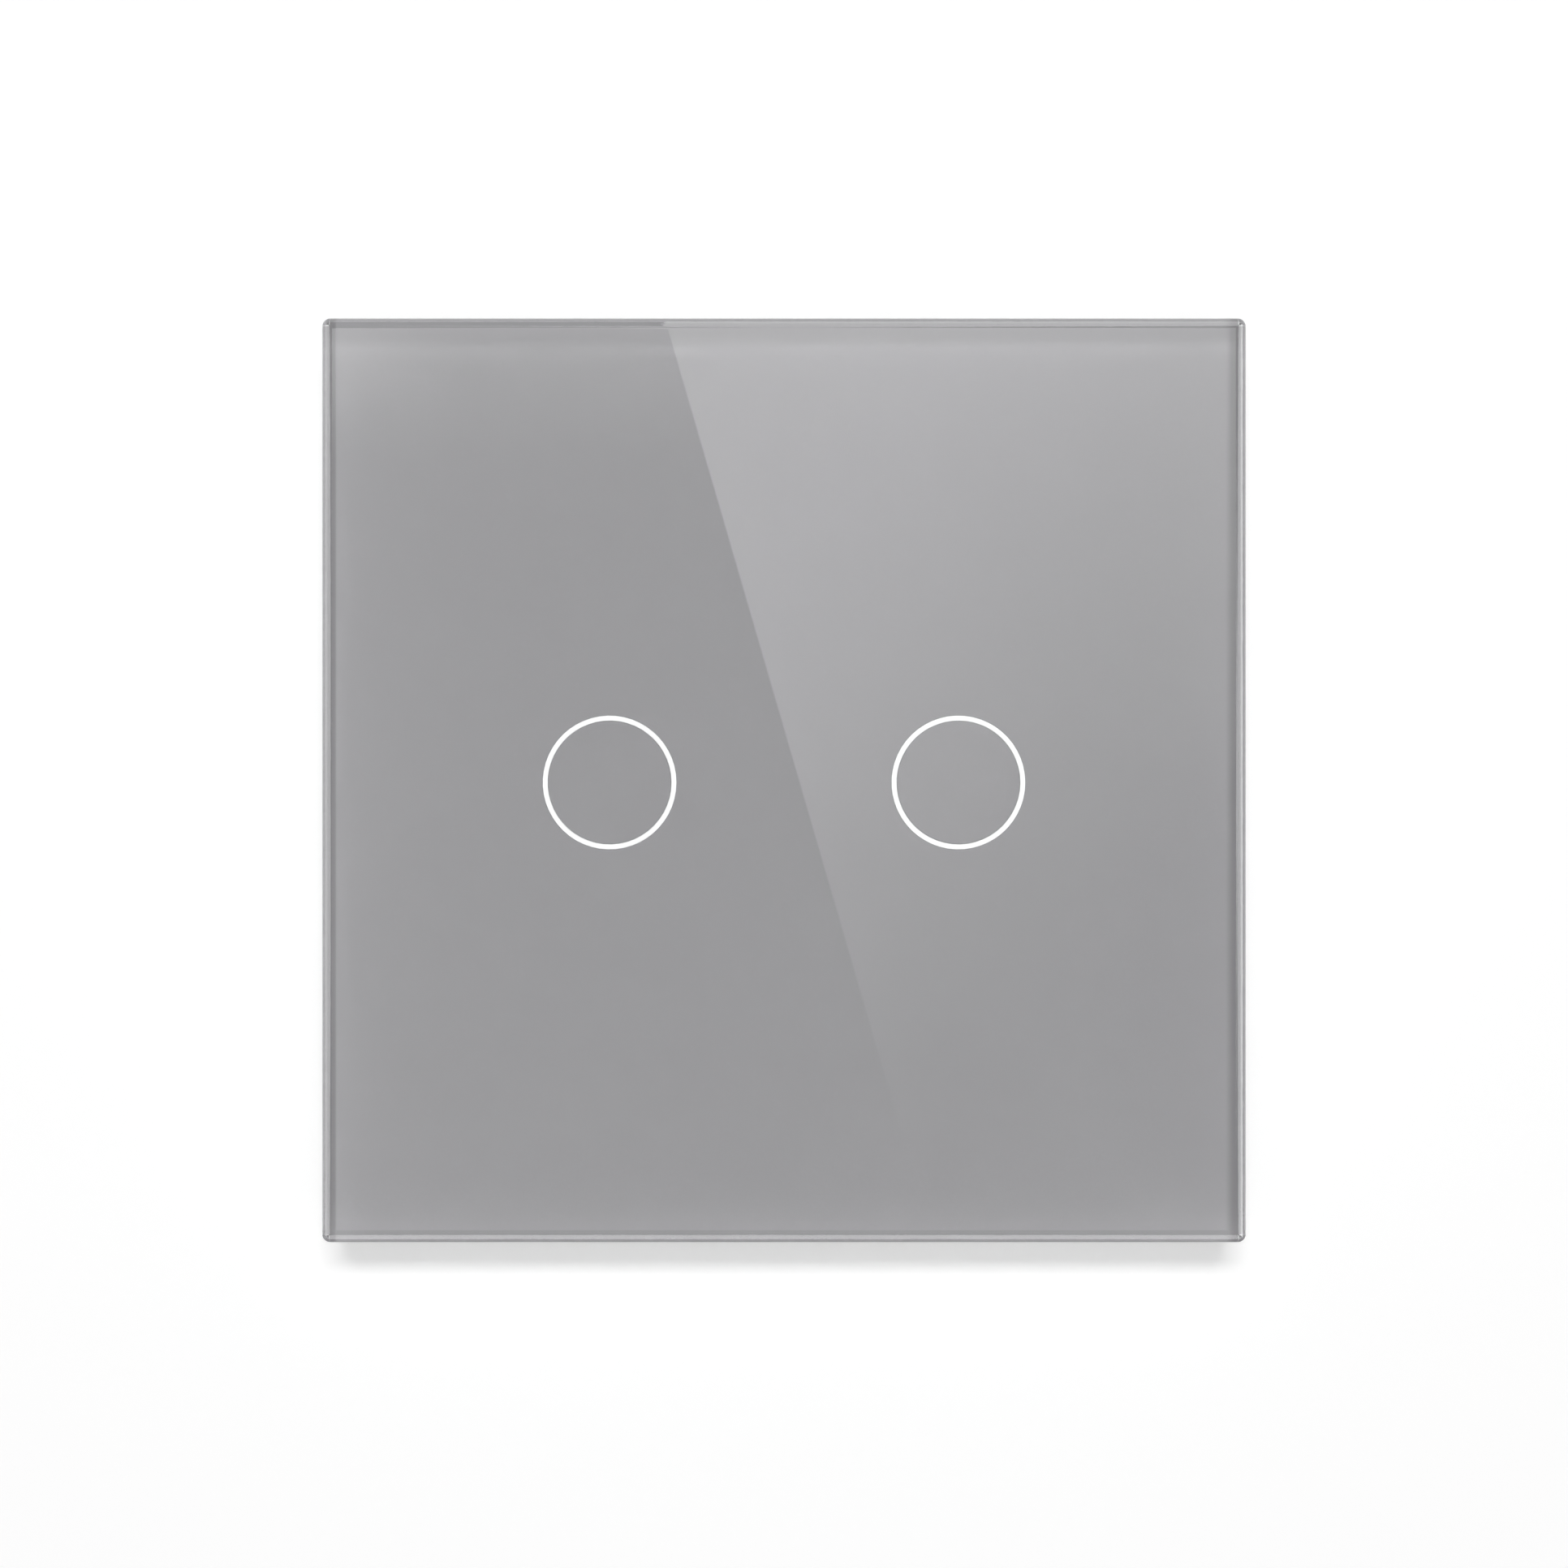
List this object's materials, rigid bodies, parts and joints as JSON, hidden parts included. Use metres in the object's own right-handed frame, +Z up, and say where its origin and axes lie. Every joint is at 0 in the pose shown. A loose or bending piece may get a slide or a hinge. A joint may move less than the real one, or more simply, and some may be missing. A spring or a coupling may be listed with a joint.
{
  "type": "touch light switch",
  "caption": "Square flush wall switch with a flat grey glass front and round touch fields, a snap-off glass panel, a steel yoke and an octagonal rear box with screw terminals.",
  "frame": {"origin": "centre of the wall plane, midway between the wall screws, on the back face of the yoke", "axes": "+X to the right seen from the front, +Y into the wall, +Z up; the glass faces -Y"},
  "size_m": [0.08, 0.0375, 0.08],
  "materials": {
    "clear_glass": "polished float glass with ground edges",
    "grey_print": "grey screen print on film",
    "white_line": "white translucent print",
    "foam_tape": "black foam tape",
    "frame_plastic": "fine spark-eroded moulding texture",
    "cover_plastic": "fine spark-eroded moulding texture",
    "milky_plastic": "milky light guide",
    "spring_wire": "tinned spring wire",
    "green_board": "solder mask on glass-fibre board",
    "led_body": "small white lamp body",
    "chip_black": "moulded chip case",
    "screw_steel": "bright zinc plated steel",
    "connector_black": "moulded connector",
    "gold_pin": "gold plated pins",
    "relay_blue": "sealed relay case",
    "capacitor_yellow": "moulded capacitor box",
    "capacitor_sleeve": "shrunk sleeve on a can",
    "varistor_blue": "dipped resin",
    "resistor_body": "lacquered ceramic",
    "choke_wire": "lacquered winding",
    "terminal_plastic": "moulded terminal body",
    "contact_brass": "stamped brass",
    "clamp_steel": "yellow passivated zinc",
    "zinc_steel": "zinc plated sheet",
    "housing_white": "fine spark-eroded moulding texture"
  },
  "bodies": {
    "switch_body": {"yoke": "zinc_steel", "front_cover": "cover_plastic", "light_guide_left": "milky_plastic", "light_guide_right": "milky_plastic", "touch_spring_left": "spring_wire", "touch_spring_right": "spring_wire", "touch_board": "green_board", "indicator_leds": "led_body", "touch_controller": "chip_black", "touch_board_screws": "screw_steel", "header_body": "connector_black", "header_pins": "gold_pin", "header_socket": "connector_black", "power_board": "green_board", "power_board_screws": "screw_steel", "relay_left": "relay_blue", "relay_right": "relay_blue", "film_capacitor": "capacitor_yellow", "smoothing_capacitor": "capacitor_sleeve", "varistor": "varistor_blue", "fusible_resistor": "resistor_body", "bridge_rectifier": "chip_black", "choke": "choke_wire", "terminal_pole_left": "terminal_plastic", "terminal_pole_middle": "terminal_plastic", "terminal_pole_right": "terminal_plastic", "terminal_contacts": "contact_brass", "rear_housing": "housing_white", "housing_screws": "screw_steel"},
    "panel": {"glass_panel": "clear_glass", "backing_film": "grey_print", "ring_window_left": "white_line", "ring_window_right": "white_line", "adhesive_tape": "foam_tape", "panel_frame": "frame_plastic"},
    "screw_left": {"terminal_screw_left": "screw_steel"},
    "cage_left": {"clamp_cage_left": "clamp_steel"},
    "screw_middle": {"terminal_screw_middle": "screw_steel"},
    "cage_middle": {"clamp_cage_middle": "clamp_steel"},
    "screw_right": {"terminal_screw_right": "screw_steel"},
    "cage_right": {"clamp_cage_right": "clamp_steel"}
  },
  "joints": [
    {"name": "panel_pull", "type": "slide", "parent": "switch_body", "child": "panel", "axis": [0, -1, 0], "range_m": [0, 0.02]},
    {"name": "screw_left_turn", "type": "hinge", "parent": "switch_body", "child": "screw_left", "pos_m": [-0.0073, 0.0246, -0.0182], "axis": [0, -1, 0], "range_deg": [0, 2160]},
    {"name": "cage_left_rise", "type": "slide", "parent": "switch_body", "child": "cage_left", "axis": [0, 1, 0], "range_m": [0, 0.003]},
    {"name": "screw_middle_turn", "type": "hinge", "parent": "switch_body", "child": "screw_middle", "pos_m": [0, 0.0246, -0.0182], "axis": [0, -1, 0], "range_deg": [0, 2160]},
    {"name": "cage_middle_rise", "type": "slide", "parent": "switch_body", "child": "cage_middle", "axis": [0, 1, 0], "range_m": [0, 0.003]},
    {"name": "screw_right_turn", "type": "hinge", "parent": "switch_body", "child": "screw_right", "pos_m": [0.0073, 0.0246, -0.0182], "axis": [0, -1, 0], "range_deg": [0, 2160]},
    {"name": "cage_right_rise", "type": "slide", "parent": "switch_body", "child": "cage_right", "axis": [0, 1, 0], "range_m": [0, 0.003]}
  ],
  "couplings": [
    {"joint": "screw_left_turn", "follows": "cage_left_rise", "rad_per_m": 12566},
    {"joint": "screw_middle_turn", "follows": "cage_middle_rise", "rad_per_m": 12566},
    {"joint": "screw_right_turn", "follows": "cage_right_rise", "rad_per_m": 12566}
  ]
}
